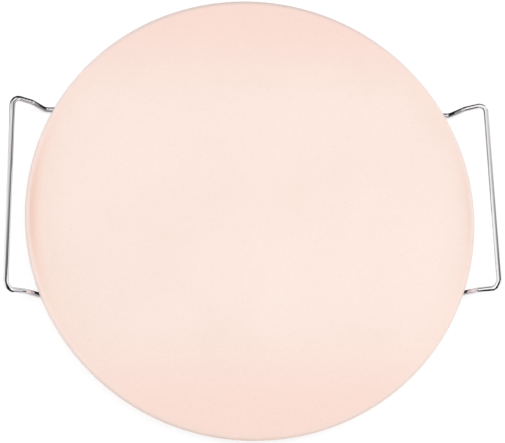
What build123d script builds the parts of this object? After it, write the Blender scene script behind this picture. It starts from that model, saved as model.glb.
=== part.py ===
from build123d import *
from math import atan2, cos, sqrt
import os

# Round pressed-ceramic baking stone lying loose on a chromed wire rack with a raised handle at each end.
# Millimetres, +Z up. The origin is on the stone's axis, on the surface that the rack stands on. X runs from
# handle to handle, and -Y is the front edge, towards which the stone has slid against its stops.

# Stone
stone_diameter = 380.0
stone_thickness = 12.0
stone_base_bevel = 2.0
stone_rim_round = 3.0
rim_fall = 1.0
rim_fall_width = 22.0

# Handle wires, all lengths taken on the centre line of the wire
handle_wire_diameter = 4.5
runner_spacing = 160.0
riser_rise = 18.4
riser_lean = 8.7
riser_top_bend = 6.0
arm_run = 14.1
arm_rise = 13.2
handle_corner_bend = 7.5

# Cross wires under the runners, which are the feet of the rack
cross_wire_diameter = 4.0
cross_wire_pitch = 112.0
cross_wire_overhang = 8.0
weld_sink = 0.3

# How the stone lies in the rack
seat_clearance = 0.3
side_clearance = 0.3
stone_slide = 9.8
foot_bend_share = 1.5

# Heights above the table
handle_wire_radius = handle_wire_diameter / 2
cross_wire_radius = cross_wire_diameter / 2
runner_height = cross_wire_diameter + handle_wire_radius - weld_sink
stone_base_height = runner_height + handle_wire_radius + seat_clearance
stone_top_height = stone_base_height + stone_thickness

# The front risers stop the stone: the upper corner of its bevelled lower edge meets them square to their lean.
stone_radius = stone_diameter / 2
lean_angle = atan2(riser_lean, riser_rise)
edge_to_riser = (handle_wire_radius + side_clearance) / cos(lean_angle)
front_runner_reach = runner_spacing / 2 - stone_slide
riser_at_edge = sqrt((stone_radius + edge_to_riser) ** 2 - front_runner_reach**2)
edge_above_runner = stone_base_height + stone_base_bevel - runner_height
riser_foot = riser_at_edge - riser_lean * edge_above_runner / riser_rise

# The foot bend's inside radius is a share of the bevel, small enough for the bevel to clear it.
riser_foot_bend = foot_bend_share * stone_base_bevel + handle_wire_radius

# Runner lines, front and back of the stone's axis
front_runner = -front_runner_reach
back_runner = front_runner + runner_spacing


def make_stone():
    """Disc with a level top that falls away a little near the rim, a round rim and a bevelled lower edge."""
    with BuildPart() as stone:
        with BuildSketch(Plane.XZ):
            with BuildLine():
                base = Line((0, stone_base_height), (stone_radius, stone_base_height))
                side = Line(base @ 1, (stone_radius, stone_top_height - rim_fall))
                level_top = Line((stone_radius - rim_fall_width, stone_top_height), (0, stone_top_height))
                TangentArc(level_top @ 0, side @ 1, tangent=(1, 0))
                Line(level_top @ 1, base @ 0)
            make_face()
            chamfer(vertices().group_by(Axis.X)[-1].sort_by(Axis.Y)[0], length=stone_base_bevel)
            fillet(vertices().group_by(Axis.X)[-1].sort_by(Axis.Y)[-1], radius=stone_rim_round)
        revolve(axis=Axis.Z)
    return stone


def handle_centre_line(side):
    """Corner points of one handle wire, from its front butt joint round the handle to its back one."""
    bar = riser_foot + riser_lean + arm_run
    shape = [
        (0, runner_height),
        (riser_foot, runner_height),
        (riser_foot + riser_lean, runner_height + riser_rise),
        (bar, runner_height + riser_rise + arm_rise),
    ]
    front_half = [(side * reach, front_runner, height) for reach, height in shape]
    back_half = [(side * reach, back_runner, height) for reach, height in reversed(shape)]
    return front_half + back_half


def make_handle_wire(side):
    """One bent wire: half of both runners, two risers, two sloping arms and the handle bar between them."""
    rising_bends = [riser_foot_bend, riser_top_bend, handle_corner_bend]
    with BuildPart() as wire:
        with BuildLine():
            centre_line = FilletPolyline(*handle_centre_line(side), radius=rising_bends + rising_bends[::-1])
        with BuildSketch(Plane(origin=centre_line @ 0, z_dir=centre_line % 0)):
            Circle(handle_wire_radius)
        sweep()
    return wire


def make_cross_wire(place):
    """Straight wire from front to back, cut square, with a weld seat sunk in its top under each runner."""
    length = runner_spacing + 2 * cross_wire_overhang
    middle = (front_runner + back_runner) / 2
    seat_length = 2 * cross_wire_diameter
    with BuildPart() as wire:
        with Locations((place, middle, cross_wire_radius)):
            Cylinder(cross_wire_radius, length, rotation=(90, 0, 0))
        with Locations((place, front_runner, runner_height), (place, back_runner, runner_height)):
            Cylinder(handle_wire_radius, seat_length, rotation=(0, 90, 0), mode=Mode.SUBTRACT)
    return wire


pieces = {
    "baking_stone": make_stone(),
    "handle_wire_left": make_handle_wire(-1),
    "handle_wire_right": make_handle_wire(1),
    "cross_wire_left": make_cross_wire(-cross_wire_pitch),
    "cross_wire_middle": make_cross_wire(0),
    "cross_wire_right": make_cross_wire(cross_wire_pitch),
}

os.makedirs("parts", exist_ok=True)
for name, piece in pieces.items():
    piece.part.label = name
    export_step(piece.part, f"parts/{name}.step")
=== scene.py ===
from math import atan, ceil, cos, pi, radians, sin, tan

import bpy
from mathutils import Matrix, Vector, noise


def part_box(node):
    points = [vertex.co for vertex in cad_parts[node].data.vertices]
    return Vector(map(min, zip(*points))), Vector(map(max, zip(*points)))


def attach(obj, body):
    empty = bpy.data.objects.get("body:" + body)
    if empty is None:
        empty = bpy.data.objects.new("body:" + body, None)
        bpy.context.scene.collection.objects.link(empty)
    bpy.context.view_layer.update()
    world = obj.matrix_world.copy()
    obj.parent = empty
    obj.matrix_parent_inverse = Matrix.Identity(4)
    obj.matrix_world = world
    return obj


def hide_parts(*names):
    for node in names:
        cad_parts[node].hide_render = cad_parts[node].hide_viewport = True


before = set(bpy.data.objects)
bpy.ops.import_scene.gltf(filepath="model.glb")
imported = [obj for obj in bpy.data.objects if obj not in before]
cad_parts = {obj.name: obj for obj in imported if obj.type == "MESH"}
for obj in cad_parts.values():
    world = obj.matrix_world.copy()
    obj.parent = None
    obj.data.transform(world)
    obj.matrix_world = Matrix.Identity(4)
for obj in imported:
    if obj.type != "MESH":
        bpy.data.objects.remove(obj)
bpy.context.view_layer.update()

mm = 0.001

# Stone, whose diameter and heights come from the box of its solid
base_bevel = 2.0 * mm
rim_round = 3.0 * mm
rim_fall = 1.0 * mm
rim_fall_width = 22.0 * mm
edge_soften = 0.25 * mm
stone_segments = 288
base_step = 6.0 * mm
top_step = 2.0 * mm
rim_steps = 14
stone_wave_depth = 0.07 * mm
stone_wave_length = 70.0 * mm

# Wires, placed by the boxes of their solids. The lengths and bends are taken on the centre line.
handle_wire_radius = 2.25 * mm
riser_lean = 8.7 * mm
riser_rise = 18.4 * mm
arm_run = 14.1 * mm
riser_foot_bend = 5.25 * mm
riser_top_bend = 6.0 * mm
handle_corner_bend = 7.5 * mm
wire_sides = 40
wire_step = 5.0 * mm
arc_step = radians(5)
wire_end_round = 0.45 * mm
end_steps = 5

# Welds: flattened beads where wires cross, by half their width and height, and a low ring round each butt
# joint, by its height over the wire and its reach to each side of the joint
crossing_bead = (1.9 * mm, 0.75 * mm)
butt_ring_height = 0.13 * mm
butt_ring_reach = 1.1 * mm
bead_sides = 32
bead_steps = 10

# Camera, fitted to the photograph
image_width = 505
focal_pixels = 983.26
camera_tilt = radians(14.43)
camera_azimuth = radians(-113.75)
camera_roll = radians(-1.12)
camera_distance = 842.77 * mm
camera_target = Vector((-0.21, -6.26, 0.5)) * mm
sensor_width = 36.0

# Colours of the kiln-baked clay: its cloudy body; a painted shade, darker and warmer, towards the front, the
# back and the rim; the painted shadow of each handle bar, in a ring next to it; painted light and shade along
# the edge from front to back; and the specks
clay_body = [(0.35, (0.92, 0.758, 0.685, 1)), (0.65, (0.94, 0.785, 0.716, 1))]
# Painted shade: a darker, warmer tone
clay_shade_tone = (0.939, 0.712, 0.642, 1)
# Painted shadow of the handle bars
handle_shadow_tone = (0.875, 0.632, 0.525, 1)
# Painted light and shade on the edge: darker at the front, paler at the sides, darkest at the back
edge_light_and_shade = [
    (0.0, (0.91, 0.72, 0.645, 1)),
    (0.18, (0.93, 0.76, 0.70, 1)),
    (0.5, (0.955, 0.79, 0.73, 1)),
    (0.82, (0.92, 0.76, 0.71, 1)),
    (1.0, (0.74, 0.60, 0.565, 1)),
]
clay_specks = [(0.25, (0.86, 0.83, 0.80, 1)), (0.42, (1, 1, 1, 1)), (1.0, (1, 1, 1, 1))]

# How strong the painted light and shade are. The painted shade grows between two distances to the front and
# back of the middle. Shares go by the distance inwards from the edge, and sides are the stone's left and
# right end.
end_shade_reach = (85 * mm, 175 * mm)
rim_shade_shares = [(30 * mm, 0.0), (20 * mm, 0.35), (10 * mm, 0.8), (5 * mm, 1.0), (0, 1.0)]
rim_shade_sides = (0.5, 0.3)
# Painted shadow of the handle bars: its share by the distance inwards from the edge
handle_shadow_shares = [
    (16 * mm, 0.0),
    (12.4 * mm, 0.12),
    (9 * mm, 0.5),
    (6.8 * mm, 1.0),
    (5 * mm, 1.0),
    (3.7 * mm, 0.65),
    (2.5 * mm, 0.2),
    (1.7 * mm, 0.0),
    (0, 0.0),
]
handle_shadow_sides = (1.0, 0.28)
# Painted light and shade on the edge: its share by the distance inwards from the edge
edge_shading_shares = [(4.6 * mm, 0.0), (3.4 * mm, 0.6), (2.5 * mm, 1.0), (0.5 * mm, 1.0), (0.15 * mm, 0.2), (0, 0.2)]

# The painted shadow of each handle bar fades away from the handles as this power of the cosine of the bearing
handle_shadow_narrowing = 22

# Surface of the clay: noise for the clouds, the specks and the grain, roughness, and bump strength and depth
clay_gloss = 0.25
clay_cloud_noise = {"scale": 9.0, "detail": 3.0, "roughness": 0.55}
clay_speck_noise = {"scale": 1400.0, "detail": 2.0, "roughness": 0.6}
clay_grain_noise = {"scale": 900.0, "detail": 4.0, "roughness": 0.7}
clay_roughness = (0.78, 0.95)
clay_bump = (0.35, 0.06 * mm)

# Surface of the plated wire: its colour, noise for the duller places and the grain, the span of that noise
# that its roughness follows, and bump strength and depth
chrome_colour = (0.935, 0.922, 0.957, 1)
chrome_dull_noise = {"scale": 160.0, "detail": 3.0, "roughness": 0.6}
chrome_grain_noise = {"scale": 420.0, "detail": 2.0, "roughness": 0.5}
chrome_dull_span = (0.35, 0.75)
chrome_roughness = (0.02, 0.10)
chrome_bump = (0.25, 0.02 * mm)


# Materials

def new_material(name):
    """An empty node material, with its nodes and links."""
    material = bpy.data.materials.new(name)
    material.use_nodes = True
    material.node_tree.nodes.clear()
    return material, material.node_tree.nodes, material.node_tree.links


def add_node(nodes, kind, **settings):
    """A node with its inputs set by name, or with a property set where it has no such input."""
    node = nodes.new(kind)
    for key, value in settings.items():
        label = key.replace("_", " ").title()
        if label in node.inputs:
            node.inputs[label].default_value = value
        else:
            setattr(node, key, value)
    return node


def principled(nodes, links, **settings):
    """A principled shader that is joined to the material's output."""
    output = nodes.new("ShaderNodeOutputMaterial")
    shader = add_node(nodes, "ShaderNodeBsdfPrincipled", **settings)
    links.new(shader.outputs["BSDF"], output.inputs["Surface"])
    return shader


def noise_at(nodes, links, place, **settings):
    """The value of a noise texture at a place."""
    texture = add_node(nodes, "ShaderNodeTexNoise", **settings)
    links.new(place, texture.inputs["Vector"])
    return texture.outputs["Fac"]


def colour_ramp(nodes, links, factor, stops):
    """Colours along a factor, from a list of (position, colour)."""
    ramp = nodes.new("ShaderNodeValToRGB")
    ramp.color_ramp.elements[0].position, ramp.color_ramp.elements[0].color = stops[0]
    ramp.color_ramp.elements[1].position, ramp.color_ramp.elements[1].color = stops[-1]
    for position, colour in stops[1:-1]:
        ramp.color_ramp.elements.new(position).color = colour
    links.new(factor, ramp.inputs["Fac"])
    return ramp.outputs["Color"]


def remapped(nodes, links, value, low, high, to_low, to_high, ease="LINEAR"):
    """A value carried from one range to another, straight or with eased ends."""
    change = add_node(nodes, "ShaderNodeMapRange", from_min=low, from_max=high, to_min=to_low, to_max=to_high)
    change.interpolation_type = ease
    links.new(value, change.inputs["Value"])
    return change.outputs["Result"]


def math_of(nodes, links, operation, *values):
    """The result of one sum, each value a number or a socket."""
    step = add_node(nodes, "ShaderNodeMath", operation=operation)
    for socket, value in zip(step.inputs, values):
        if isinstance(value, (int, float)):
            socket.default_value = value
        else:
            links.new(value, socket)
    return step.outputs[0]


def colour_mix(nodes, links, factor, first, second, blend="MIX"):
    """Two colours mixed by a factor, each a colour or a socket."""
    mix = nodes.new("ShaderNodeMix")
    mix.data_type = "RGBA"
    mix.blend_type = blend
    for label, value in (("Factor", factor), ("A", first), ("B", second)):
        if isinstance(value, (int, float, tuple)):
            mix.inputs[label].default_value = value
        else:
            links.new(value, mix.inputs[label])
    return mix.outputs["Result"]


def bumped(nodes, links, shader, height, strength, distance):
    """Raises the shader's surface by a height."""
    bump = add_node(nodes, "ShaderNodeBump", strength=strength, distance=distance)
    links.new(height, bump.inputs["Height"])
    links.new(bump.outputs["Normal"], shader.inputs["Normal"])


def by_inset(nodes, links, reach, radius, shares):
    """A share that follows a list of (distance inwards from the edge, share), largest distance first."""
    width = shares[0][0]
    inwards = remapped(nodes, links, reach, radius - width, radius, 0, 1)
    stops = [(1 - inset / width, (share, share, share, 1)) for inset, share in shares]
    return colour_ramp(nodes, links, inwards, stops)


def painted_shading(nodes, links, place, radius, body):
    """The body colour with painted light and shade: darker, warmer ends and rim, the shadow of each handle
    bar in a ring near it, and an edge that is paler at the sides and darker at the front and back.
    """
    split = nodes.new("ShaderNodeSeparateXYZ")
    links.new(place, split.inputs["Vector"])
    across = split.outputs["X"]
    depth = split.outputs["Y"]
    flat = nodes.new("ShaderNodeCombineXYZ")
    links.new(across, flat.inputs["X"])
    links.new(depth, flat.inputs["Y"])
    length = add_node(nodes, "ShaderNodeVectorMath", operation="LENGTH")
    links.new(flat.outputs["Vector"], length.inputs[0])
    reach = length.outputs["Value"]

    # Painted shade: darker and warmer at the rim, more so at the left, and towards the front and back
    rim_shade_side = remapped(nodes, links, across, -radius, radius, *rim_shade_sides)
    rim_shade_inset = by_inset(nodes, links, reach, radius, rim_shade_shares)
    painted_rim_shade = math_of(nodes, links, "MULTIPLY", rim_shade_inset, rim_shade_side)
    from_middle = math_of(nodes, links, "ABSOLUTE", depth)
    painted_end_shade = remapped(nodes, links, from_middle, *end_shade_reach, 0, 1, "SMOOTHSTEP")
    painted_shade_share = math_of(nodes, links, "MAXIMUM", painted_end_shade, painted_rim_shade)
    colour = colour_mix(nodes, links, painted_shade_share, body, clay_shade_tone)

    # Painted shadow of each handle bar, in a ring just inside the edge next to it, stronger at the left
    share_across = math_of(nodes, links, "DIVIDE", math_of(nodes, links, "ABSOLUTE", across), reach)
    narrow = math_of(nodes, links, "POWER", share_across, handle_shadow_narrowing)
    handle_shadow_side = remapped(nodes, links, across, -radius, radius, *handle_shadow_sides)
    handle_shadow_here = math_of(nodes, links, "MULTIPLY", narrow, handle_shadow_side)
    ring = math_of(nodes, links, "MULTIPLY", by_inset(nodes, links, reach, radius, handle_shadow_shares), handle_shadow_here)
    colour = colour_mix(nodes, links, ring, colour, handle_shadow_tone)

    # Painted light and shade on the edge: paler at the sides, darker at the front, darkest at the back
    edge_shading = colour_ramp(nodes, links, remapped(nodes, links, depth, -radius, radius, 0, 1), edge_light_and_shade)
    return colour_mix(nodes, links, by_inset(nodes, links, reach, radius, edge_shading_shares), colour, edge_shading)


def ceramic_material(radius):
    """Unglazed ceramic from the kiln: pale peach, a little cloudy, finely grained, with painted light and
    shade.
    """
    material, nodes, links = new_material("ceramic")
    shader = principled(nodes, links)
    shader.inputs["Specular IOR Level"].default_value = clay_gloss
    place = nodes.new("ShaderNodeTexCoord").outputs["Object"]

    clouds = noise_at(nodes, links, place, **clay_cloud_noise)
    body = colour_ramp(nodes, links, clouds, clay_body)
    # Painted shade at the ends and rim, painted shadows of the handle bars, and painted light and shade on
    # the edge
    shaded_body = painted_shading(nodes, links, place, radius, body)
    specks = noise_at(nodes, links, place, **clay_speck_noise)
    speck_shade = colour_ramp(nodes, links, specks, clay_specks)
    speckled = colour_mix(nodes, links, 1.0, shaded_body, speck_shade, "MULTIPLY")
    links.new(speckled, shader.inputs["Base Color"])
    links.new(remapped(nodes, links, clouds, 0, 1, *clay_roughness), shader.inputs["Roughness"])
    grain = noise_at(nodes, links, place, **clay_grain_noise)
    bumped(nodes, links, shader, grain, *clay_bump)
    return material


def chrome_material():
    """Bright plated wire: a mirror with a faint drawn grain and a few duller places."""
    material, nodes, links = new_material("plated_wire")
    shader = principled(nodes, links, metallic=1.0, base_color=chrome_colour)
    place = nodes.new("ShaderNodeTexCoord").outputs["Object"]
    dull = noise_at(nodes, links, place, **chrome_dull_noise)
    roughness = remapped(nodes, links, dull, *chrome_dull_span, *chrome_roughness)
    links.new(roughness, shader.inputs["Roughness"])
    grain = noise_at(nodes, links, place, **chrome_grain_noise)
    bumped(nodes, links, shader, grain, *chrome_bump)
    return material


# Meshes

def mesh_piece(name, points, faces, material):
    """A smooth-shaded object of these points and faces."""
    mesh = bpy.data.meshes.new(name)
    mesh.from_pydata([tuple(point) for point in points], [], faces)
    mesh.validate()
    mesh.shade_smooth()
    mesh.materials.append(material)
    piece = bpy.data.objects.new(name, mesh)
    bpy.context.scene.collection.objects.link(piece)
    return piece


def arc_points(centre, radius, start, end, steps):
    """Points of an arc in the profile plane, from one angle to another."""
    angles = [start + (end - start) * step / steps for step in range(steps + 1)]
    return [(centre[0] + radius * cos(angle), centre[1] + radius * sin(angle)) for angle in angles]


def turned(profile, sides):
    """Points and faces of a closed solid turned about Z from (reach, height) pairs, the low end first."""
    rings = len(profile) - 2
    points = [Vector((0, 0, profile[0][1]))]
    for reach, height in profile[1:-1]:
        angles = [2 * pi * side / sides for side in range(sides)]
        points += [Vector((reach * cos(angle), reach * sin(angle), height)) for angle in angles]
    points.append(Vector((0, 0, profile[-1][1])))
    top = len(points) - 1
    faces = []
    for side in range(sides):
        here = 1 + side
        after = 1 + (side + 1) % sides
        faces.append((0, after, here))
        for ring in range(rings - 1):
            low = ring * sides
            high = low + sides
            faces.append((low + here, low + after, high + after, high + here))
        faces.append((top - 1 - sides + here, top - 1 - sides + after, top))
    return points, faces


# Stone

def fall_at(reach, radius):
    """How far the stone's top lies below its level middle, at a reach from the axis."""
    share = max(0, (reach - radius + rim_fall_width) / rim_fall_width)
    return rim_fall * share**2


def stone_profile(low, high, radius):
    """Half outline of the stone as (reach, height), from the middle of its base to the middle of its top."""
    foot = radius - base_bevel
    base_rings = ceil(foot / base_step)
    base = [(foot * ring / base_rings, low) for ring in range(base_rings)]
    bevel = [
        (foot - edge_soften, low),
        (foot + edge_soften / 2, low + edge_soften / 2),
        (radius - edge_soften / 2, low + base_bevel - edge_soften / 2),
        (radius, low + base_bevel + edge_soften),
    ]
    slope = atan(2 * rim_fall / rim_fall_width)
    reach = radius - rim_round * (1 - sin(slope))
    shoulder = high - fall_at(reach, radius) - rim_round * cos(slope)
    rim = arc_points((radius - rim_round, shoulder), rim_round, 0, pi / 2 - slope, rim_steps)
    top_rings = ceil(reach / top_step)
    top_reaches = [reach * (top_rings - ring) / top_rings for ring in range(1, top_rings + 1)]
    top = [(ring_reach, high - fall_at(ring_reach, radius)) for ring_reach in top_reaches]
    return base + bevel + rim + top


def make_stone(material):
    """The stone as one closed mesh turned from its profile, with the faint unevenness of a pressed disc."""
    low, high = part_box("baking_stone")
    radius = (high.x - low.x) / 2
    middle = (low.z + high.z) / 2
    points, faces = turned(stone_profile(low.z, high.z, radius), stone_segments)
    uneven = []
    for point in points:
        depth = stone_wave_depth * (noise.noise(point / stone_wave_length) + 1) / 2
        inward = Vector((-point.x, -point.y, 0)) / radius
        down = Vector((0, 0, -1 if point.z > middle else 0))
        uneven.append(point + (inward + down * inward.length) * depth)
    return mesh_piece("stone_body", uneven, faces, material)


# Rack

def bent_path(corners, bends):
    """Points along straight runs joined by tangent arcs, with one bend radius for each inner corner."""
    line = [corners[0]]
    for before, corner, after, bend in zip(corners, corners[1:], corners[2:], bends):
        into = (corner - before).normalized()
        out = (after - corner).normalized()
        turn = into.angle(out)
        inward = (out - into * into.dot(out)).normalized()
        start = corner - into * bend * tan(turn / 2)
        centre = start + inward * bend
        steps = ceil(turn / arc_step)
        angles = [turn * step / steps for step in range(steps + 1)]
        line += [centre - inward * bend * cos(angle) + into * bend * sin(angle) for angle in angles]
    line.append(corners[-1])
    path = [line[0]]
    for start, end in zip(line, line[1:]):
        steps = max(1, ceil((end - start).length / wire_step))
        path += [start.lerp(end, step / steps) for step in range(1, steps + 1)]
    return path


def make_wire(name, path, radius, material):
    """A closed round wire along a path, with the edges of its two cut ends softly rounded."""
    directions = [(after - before).normalized() for before, after in zip(path, path[1:])]
    first = directions[0]
    last = directions[-1]
    angles = [pi / 2 * step / end_steps for step in range(end_steps + 1)]
    rounding = [(wire_end_round * (1 - sin(angle)), wire_end_round * (1 - cos(angle))) for angle in angles]
    rings = [(path[0] + first * back, first, radius - inset) for back, inset in reversed(rounding)]
    for place, into, out in zip(path[1:-1], directions, directions[1:]):
        rings.append((place, (into + out).normalized(), radius))
    rings += [(path[-1] - last * back, last, radius - inset) for back, inset in rounding]
    side = first.orthogonal().normalized()
    points = []
    for place, along, size in rings:
        side = (side - along * side.dot(along)).normalized()
        across = along.cross(side)
        turns = [2 * pi * step / wire_sides for step in range(wire_sides)]
        points += [place + (side * cos(angle) + across * sin(angle)) * size for angle in turns]
    faces = []
    for ring in range(len(rings) - 1):
        here = ring * wire_sides
        for step in range(wire_sides):
            after = (step + 1) % wire_sides
            faces.append((here + step, here + after, here + wire_sides + after, here + wire_sides + step))
    faces.append(tuple(reversed(range(wire_sides))))
    faces.append(tuple((len(rings) - 1) * wire_sides + step for step in range(wire_sides)))
    return mesh_piece(name, points, faces, material)


def handle_path(node, side):
    """Centre line of a handle wire from its front butt joint round the handle to its back one."""
    low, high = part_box(node)
    radius = handle_wire_radius
    runner_height = low.z + radius
    bar = max(abs(low.x), abs(high.x)) - radius
    shape = [
        (0, runner_height),
        (bar - arm_run - riser_lean, runner_height),
        (bar - arm_run, runner_height + riser_rise),
        (bar, high.z - radius),
    ]
    front = [Vector((side * reach, low.y + radius, height)) for reach, height in shape]
    back = [Vector((side * reach, high.y - radius, height)) for reach, height in reversed(shape)]
    bends = [riser_foot_bend, riser_top_bend, handle_corner_bend]
    return bent_path(front + back, bends + bends[::-1])


def cross_path(node):
    """Centre line of a cross wire, from front to back, and its radius."""
    low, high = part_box(node)
    radius = (high.x - low.x) / 2
    middle = low.x + radius
    height = low.z + radius
    return bent_path([Vector((middle, low.y, height)), Vector((middle, high.y, height))], []), radius


def bead_profile(reach, height):
    """Half outline of a flattened bead, from its lowest point to its highest."""
    angles = [pi * step / bead_steps - pi / 2 for step in range(bead_steps + 1)]
    return [(reach * cos(angle), height * sin(angle)) for angle in angles]


def butt_profile():
    """Half outline of a low ring round a butt joint, closed inside the wire."""
    sunk = handle_wire_radius - butt_ring_height
    angles = [pi * step / bead_steps - pi / 2 for step in range(bead_steps + 1)]
    ring = [(sunk + 2 * butt_ring_height * cos(angle), butt_ring_reach * sin(angle)) for angle in angles]
    return [(0, -butt_ring_reach)] + ring + [(0, butt_ring_reach)]


def make_welds(material):
    """Every weld of the rack in one mesh: a bead at each crossing and a ring round each butt joint."""
    handle_low, handle_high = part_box("handle_wire_left")
    runner_height = handle_low.z + handle_wire_radius
    runners = (handle_low.y + handle_wire_radius, handle_high.y - handle_wire_radius)
    crossings = [sum(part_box(f"cross_wire_{name}"), Vector()) / 2 for name in ("left", "middle", "right")]
    bead = turned(bead_profile(*crossing_bead), bead_sides)
    ring = turned(butt_profile(), bead_sides)
    lay_down = Matrix.Rotation(pi / 2, 4, "Y")
    placed = [(ring, Matrix.Translation((0, runner, runner_height)) @ lay_down) for runner in runners]
    for crossing in crossings:
        for runner in runners:
            placed.append((bead, Matrix.Translation((crossing.x, runner, handle_low.z))))
    points = []
    faces = []
    for (weld_points, weld_faces), place in placed:
        start = len(points)
        points += [place @ point for point in weld_points]
        faces += [tuple(start + corner for corner in face) for face in weld_faces]
    return mesh_piece("welds", points, faces, material)


def make_rack(material):
    """The five wires of the rack, each in the place of its node, and the welds that join them."""
    pieces = []
    for name, side in (("left", -1), ("right", 1)):
        path = handle_path(f"handle_wire_{name}", side)
        wire = make_wire(f"handle_{name}", path, handle_wire_radius, material)
        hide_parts(f"handle_wire_{name}")
        pieces.append(wire)
    for name in ("left", "middle", "right"):
        path, radius = cross_path(f"cross_wire_{name}")
        wire = make_wire(f"cross_{name}", path, radius, material)
        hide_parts(f"cross_wire_{name}")
        pieces.append(wire)
    pieces.append(make_welds(material))
    for piece in pieces:
        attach(piece, "rack")


# Stage

# Floor: its shadow fades out between two distances from the axis, and to the camera it is a darker matt white
# with a glow of its own
floor_radius = 6.0
floor_sides = 96
floor_shadow_reach = (0.35, 1.3)
floor_albedo = 0.9
floor_camera_albedo = 0.28
floor_glow = 0.78

# Light from all round, straight overhead and at the horizon
world_zenith = 0.545
world_horizon = 0.785

# Soft lamps over the stone: place, turn about Y, size in X and Y, watts
lamps = {
    "overhead": ((0.03, 0, 0.90), 0, (2.2, 0.16), 5.6),
    "side": ((1.2, 0, 0.75), radians(58), (0.7, 0.7), 1.0),
}

# Cards that only reflections show, from black at 0 to white at 1: glowing sheets that paint the chrome's
# reflections of a dark studio and of the shade round the stone. The round ones lie or stand round the object:
# shade, first and last bearing in degrees, lower and upper edge as (reach, height).
card_steps = 24
near_floor = 0.002
round_cards = {
    "back": (0.01, (45, 155), (0.28, 0.003), (0.70, 0.27)),
    "front": (0.01, (-150, -60), (0.222, near_floor), (0.90, 0.42)),
    "front_floor": (0.01, (-64, -31.5), (0.224, near_floor), (0.90, near_floor)),
    "corner_front_right": (0.01, (-60, -25), (0.236, near_floor), (0.250, 0.09)),
    "corner_back_right": (0.01, (35.5, 82), (0.240, 0.008), (0.240, 0.078)),
    "corner_back_left": (0.01, (118, 152), (0.222, near_floor), (0.250, 0.085)),
}

# Walls just outside the stone's side, painting its shade in dark and grey stretches as the wires mirror it:
# shade, first and last bearing, lower and upper height
wall_reach = 0.1903
wall_foot = 0.001
wall_waist = 0.0115
wall_front_top = 0.0145
wall_top = 0.0185
side_shade_cards = {
    "wall_back": (0.02, (26, 152.8), wall_foot, wall_waist),
    "wall_back_left": (0.40, (90, 152.8), wall_waist, wall_top),
    "wall_back_right": (0.28, (26, 90), wall_waist, wall_top),
    "wall_left": (0.28, (152.8, 198.3), wall_foot, wall_top),
    "wall_right": (0.35, (-18.7, 26), wall_foot, wall_top),
    "wall_stop_left": (0.02, (198.3, 202), wall_foot, wall_front_top),
    "wall_stop_right": (0.02, (-22, -18.7), wall_foot, wall_front_top),
    "wall_front_left": (0.40, (202, 212), wall_foot, wall_front_top),
    "wall_front_right": (0.35, (-32, -22), wall_foot, wall_front_top),
}

# Level sheets just over the outer part of the stone's top, painting a grey, shaded reflection of it in the
# wires in place of its peach: shade, first and last bearing, height
rim_card_start = 0.140
rim_card_end = 0.1897
rim_card_height = 0.0212
rim_card_upper_height = 0.0214
rim_shade_cards = {
    "rim_left": (0.70, (90, 270), rim_card_height),
    "rim_left_back": (0.40, (158, 168), rim_card_upper_height),
    "rim_right_front": (0.62, (-90, 0), rim_card_height),
    "rim_right_back": (0.25, (0, 90), rim_card_height),
}

# Flat ones, level or across X, painting reflections in the wires: shades at the front and back edge, lowest
# and highest corner. Those over the handle bars reach from the front arms to the back arms, or beyond them.
over_bars = 0.1
bars_front = -0.075
bars_back = 0.10
bars_far_back = 0.15
flat_cards = {
    "back_floor": ((0.01, 0.01), (-0.75, 0.0935, near_floor), (0.19, 0.6, near_floor)),
    "right": ((0.12, 0.12), (1.1, 0.2, 0.3), (1.1, 0.95, 1.3)),
    "left_front_corner": ((0.01, 0.01), (-0.225, -0.21, over_bars), (-0.10, bars_front, over_bars)),
    "right_front_corner": ((0.01, 0.01), (0.165, -0.30, over_bars), (0.262, bars_front, over_bars)),
    "left_back_corner": ((0.66, 0.66), (-0.30, bars_back, over_bars), (-0.203, bars_far_back, over_bars)),
    "left_bar_inner": ((0.10, 0.32), (-0.178, bars_front, over_bars), (-0.130, bars_far_back, over_bars)),
    "left_bar_middle": ((0.0, 0.95), (-0.203, bars_front, over_bars), (-0.178, bars_far_back, over_bars)),
    "left_bar_outer": ((0.01, 1.0), (-0.235, bars_front, over_bars), (-0.203, bars_back, over_bars)),
    "left_bar_far": ((1.0, 0.62), (-0.42, bars_front, over_bars), (-0.235, bars_back, over_bars)),
    "right_bar_outer": ((0.06, 0.72), (0.218, bars_front, over_bars), (0.40, bars_far_back, over_bars)),
    "right_bar_middle": ((0.09, 0.93), (0.190, bars_front, over_bars), (0.218, bars_far_back, over_bars)),
    "right_bar_inner": ((0.75, 0.75), (0.155, bars_front, over_bars), (0.190, bars_far_back, over_bars)),
}


def ray_is_shown(nodes, links):
    """1 for rays of the camera, of reflections and through glass, else 0, and 1 for the camera's alone."""
    path = nodes.new("ShaderNodeLightPath").outputs
    seen = math_of(nodes, links, "MAXIMUM", path["Is Camera Ray"], path["Is Glossy Ray"])
    return math_of(nodes, links, "MAXIMUM", seen, path["Is Transmission Ray"]), path["Is Camera Ray"]


def mixed(nodes, links, factor, first, second):
    """A shader that goes from the first to the second by the factor."""
    mix = nodes.new("ShaderNodeMixShader")
    links.new(factor, mix.inputs["Fac"])
    links.new(first, mix.inputs[1])
    links.new(second, mix.inputs[2])
    return mix.outputs["Shader"]


def glow_shader(nodes, strength):
    """A white glow of one strength."""
    return add_node(nodes, "ShaderNodeEmission", strength=strength).outputs["Emission"]


def matt_shader(nodes, shade):
    """A matt grey."""
    return add_node(nodes, "ShaderNodeBsdfDiffuse", color=(shade, shade, shade, 1)).outputs["BSDF"]


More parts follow.
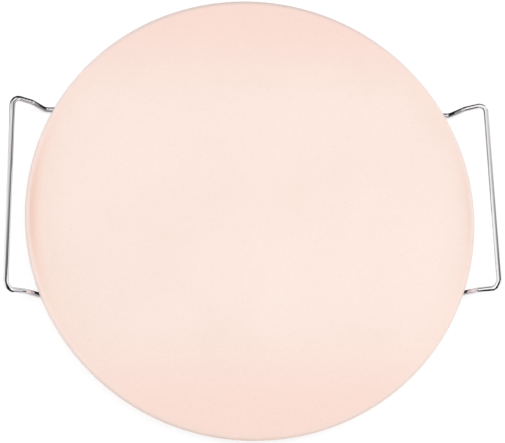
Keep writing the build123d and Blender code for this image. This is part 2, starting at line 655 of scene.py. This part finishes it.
def floor_material():
    """White floor that keeps the object's shadow near it, and joins the white background far out."""
    material, nodes, links = new_material("floor_white")
    output = nodes.new("ShaderNodeOutputMaterial")
    shown, camera = ray_is_shown(nodes, links)
    reach = add_node(nodes, "ShaderNodeVectorMath", operation="LENGTH")
    links.new(nodes.new("ShaderNodeTexCoord").outputs["Object"], reach.inputs[0])
    far = remapped(nodes, links, reach.outputs["Value"], *floor_shadow_reach, 0, 1)
    plain = matt_shader(nodes, floor_albedo)
    near = nodes.new("ShaderNodeAddShader")
    links.new(matt_shader(nodes, floor_camera_albedo), near.inputs[0])
    links.new(glow_shader(nodes, floor_glow), near.inputs[1])
    by_camera = mixed(nodes, links, camera, plain, near.outputs["Shader"])
    by_distance = mixed(nodes, links, far, by_camera, glow_shader(nodes, 1.0))
    links.new(mixed(nodes, links, shown, plain, by_distance), output.inputs["Surface"])
    return material


def make_floor():
    """A wide round floor at the height of the rack's feet."""
    angles = [2 * pi * side / floor_sides for side in range(floor_sides)]
    points = [Vector((floor_radius * cos(angle), floor_radius * sin(angle), 0)) for angle in angles]
    mesh_piece("floor", points, [tuple(range(floor_sides))], floor_material())


def make_card(name, shades, points, faces):
    """A glowing card that only reflections show, a painted reflection, with a shade for its front edge and
    one for its back edge.
    """
    material, nodes, links = new_material(f"card_{name}")
    output = nodes.new("ShaderNodeOutputMaterial")
    glow = add_node(nodes, "ShaderNodeEmission", strength=shades[0])
    if shades[0] != shades[1]:
        split = nodes.new("ShaderNodeSeparateXYZ")
        links.new(nodes.new("ShaderNodeTexCoord").outputs["Generated"], split.inputs["Vector"])
        links.new(remapped(nodes, links, split.outputs["Y"], 0, 1, *shades), glow.inputs["Strength"])
    links.new(glow.outputs["Emission"], output.inputs["Surface"])
    card = mesh_piece(f"card_{name}", points, faces, material)
    card.visible_camera = False
    card.visible_diffuse = False
    card.visible_shadow = False
    card.visible_transmission = False
    card.visible_volume_scatter = False


def make_round_card(name, shade, bearings, low_edge, high_edge):
    """A card round part of the object, from its lower edge to its upper edge."""
    start, end = (radians(bearing) for bearing in bearings)
    angles = [start + (end - start) * step / card_steps for step in range(card_steps + 1)]
    points = []
    for reach, height in (low_edge, high_edge):
        points += [Vector((reach * cos(angle), reach * sin(angle), height)) for angle in angles]
    row = card_steps + 1
    faces = [(step, step + 1, row + step + 1, row + step) for step in range(card_steps)]
    make_card(name, (shade, shade), points, faces)


def make_flat_card(name, shades, low, high):
    """A sheet between two corners, level or across X."""
    if low[0] == high[0]:
        points = [low, (low[0], high[1], low[2]), high, (high[0], low[1], high[2])]
    else:
        points = [low, (high[0], low[1], low[2]), high, (low[0], high[1], high[2])]
    make_card(name, shades, points, [(0, 1, 2, 3)])


def make_world():
    """White to the camera, to metal and to glass, and an even soft light, brighter low down, to all else."""
    world = bpy.data.worlds.new("studio")
    bpy.context.scene.world = world
    world.use_nodes = True
    nodes, links = world.node_tree.nodes, world.node_tree.links
    nodes.clear()
    output = nodes.new("ShaderNodeOutputWorld")
    shown = ray_is_shown(nodes, links)[0]
    split = nodes.new("ShaderNodeSeparateXYZ")
    links.new(nodes.new("ShaderNodeTexCoord").outputs["Generated"], split.inputs["Vector"])
    level = remapped(nodes, links, split.outputs["Z"], 0, 1, world_horizon, world_zenith)
    light = add_node(nodes, "ShaderNodeBackground", color=(1, 1, 1, 1))
    links.new(level, light.inputs["Strength"])
    white = add_node(nodes, "ShaderNodeBackground", color=(1, 1, 1, 1), strength=1.0)
    by_ray = mixed(nodes, links, shown, light.outputs["Background"], white.outputs["Background"])
    links.new(by_ray, output.inputs["Surface"])


def make_lamp(name, place, turn, size, watts):
    """A soft rectangular lamp that looks down, turned about Y towards the stone."""
    lamp = bpy.data.lights.new(name, "AREA")
    lamp.shape = "RECTANGLE"
    lamp.size, lamp.size_y = size
    lamp.energy = watts
    holder = bpy.data.objects.new(name, lamp)
    holder.location = place
    holder.rotation_euler = (0, turn, 0)
    holder.visible_camera = False
    holder.visible_glossy = False
    bpy.context.scene.collection.objects.link(holder)


def make_camera():
    """The photograph's view: nearly straight down, from over the near left of the stone, turned a little."""
    bearing = Vector((cos(camera_azimuth), sin(camera_azimuth), 0))
    away = bearing * sin(camera_tilt) + Vector((0, 0, cos(camera_tilt)))
    right = Vector((0, 1, 0)).cross(away).normalized()
    up = away.cross(right)
    turned_right = right * cos(camera_roll) + up * sin(camera_roll)
    turned_up = up * cos(camera_roll) - right * sin(camera_roll)
    lens = bpy.data.cameras.new("photo_camera")
    lens.sensor_fit = "HORIZONTAL"
    lens.sensor_width = sensor_width
    lens.lens = focal_pixels / image_width * sensor_width
    camera = bpy.data.objects.new("photo_camera", lens)
    turn = Matrix((turned_right, turned_up, away)).transposed()
    camera.matrix_world = Matrix.Translation(camera_target + away * camera_distance) @ turn.to_4x4()
    bpy.context.scene.collection.objects.link(camera)
    bpy.context.scene.camera = camera


bpy.context.scene.view_settings.view_transform = "Standard"
make_camera()
make_world()
make_floor()
for name, lamp in lamps.items():
    make_lamp(name, *lamp)
for name, card in round_cards.items():
    make_round_card(name, *card)
# Painted shade of the stone's side, seen only in the wires
for name, (shade, bearings, foot, top) in side_shade_cards.items():
    make_round_card(name, shade, bearings, (wall_reach, foot), (wall_reach, top))
# Painted grey reflection of the stone's rim, seen only in the wires
for name, (shade, bearings, height) in rim_shade_cards.items():
    make_round_card(name, shade, bearings, (rim_card_start, height), (rim_card_end, height))
for name, card in flat_cards.items():
    make_flat_card(name, *card)

stone_low, stone_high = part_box("baking_stone")
ceramic = ceramic_material((stone_high.x - stone_low.x) / 2)
chrome = chrome_material()
stone = make_stone(ceramic)
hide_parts("baking_stone")
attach(stone, "stone")
make_rack(chrome)

# The plain solids wear the same finishes as the pieces that stand for them
for name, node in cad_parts.items():
    node.data.materials.clear()
    node.data.materials.append(ceramic if name == "baking_stone" else chrome)
